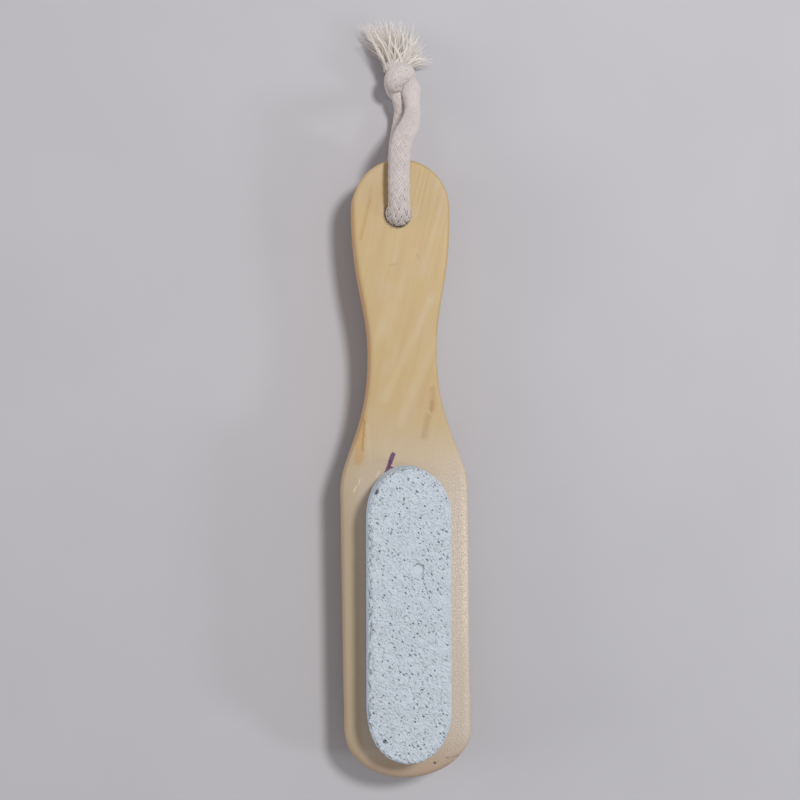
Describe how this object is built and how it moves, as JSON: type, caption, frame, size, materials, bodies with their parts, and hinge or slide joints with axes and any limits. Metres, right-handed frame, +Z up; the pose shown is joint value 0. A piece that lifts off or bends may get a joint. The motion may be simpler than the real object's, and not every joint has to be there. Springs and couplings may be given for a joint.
{
  "type": "pumice foot brush",
  "caption": "Two-sided foot brush: a waisted wooden paddle with a pumice block on its upper face, bristle tufts under its head and a knotted cotton hanging cord through the handle.",
  "frame": {"origin": "resting plane of the bristle tips, under the middle of the wooden paddle", "axes": "+Z up through the pumice face, +Y along the handle towards the hanging cord"},
  "size_m": [0.0474, 0.2862, 0.0365],
  "materials": {
    "wood": "satin varnish",
    "bristle": "natural bristle",
    "adhesive": "cured glue",
    "pumice": "open-pored, matte",
    "cotton": "braided cotton"
  },
  "bodies": {
    "brush": {"wood_handle": "wood", "bristle_row_1": "bristle", "bristle_row_2": "bristle", "bristle_row_3": "bristle", "bristle_row_4": "bristle", "adhesive_bed": "adhesive", "pumice_stone": "pumice"},
    "hang_loop": {"hang_cord": "cotton", "cord_knot": "cotton", "frayed_ends": "cotton"}
  },
  "joints": [
    {"name": "loop_swing", "type": "hinge", "parent": "brush", "child": "hang_loop", "pos_m": [-0.0013, 0.0945, 0.01625], "axis": [0, 0, 1], "range_deg": [-90, 90]}
  ]
}
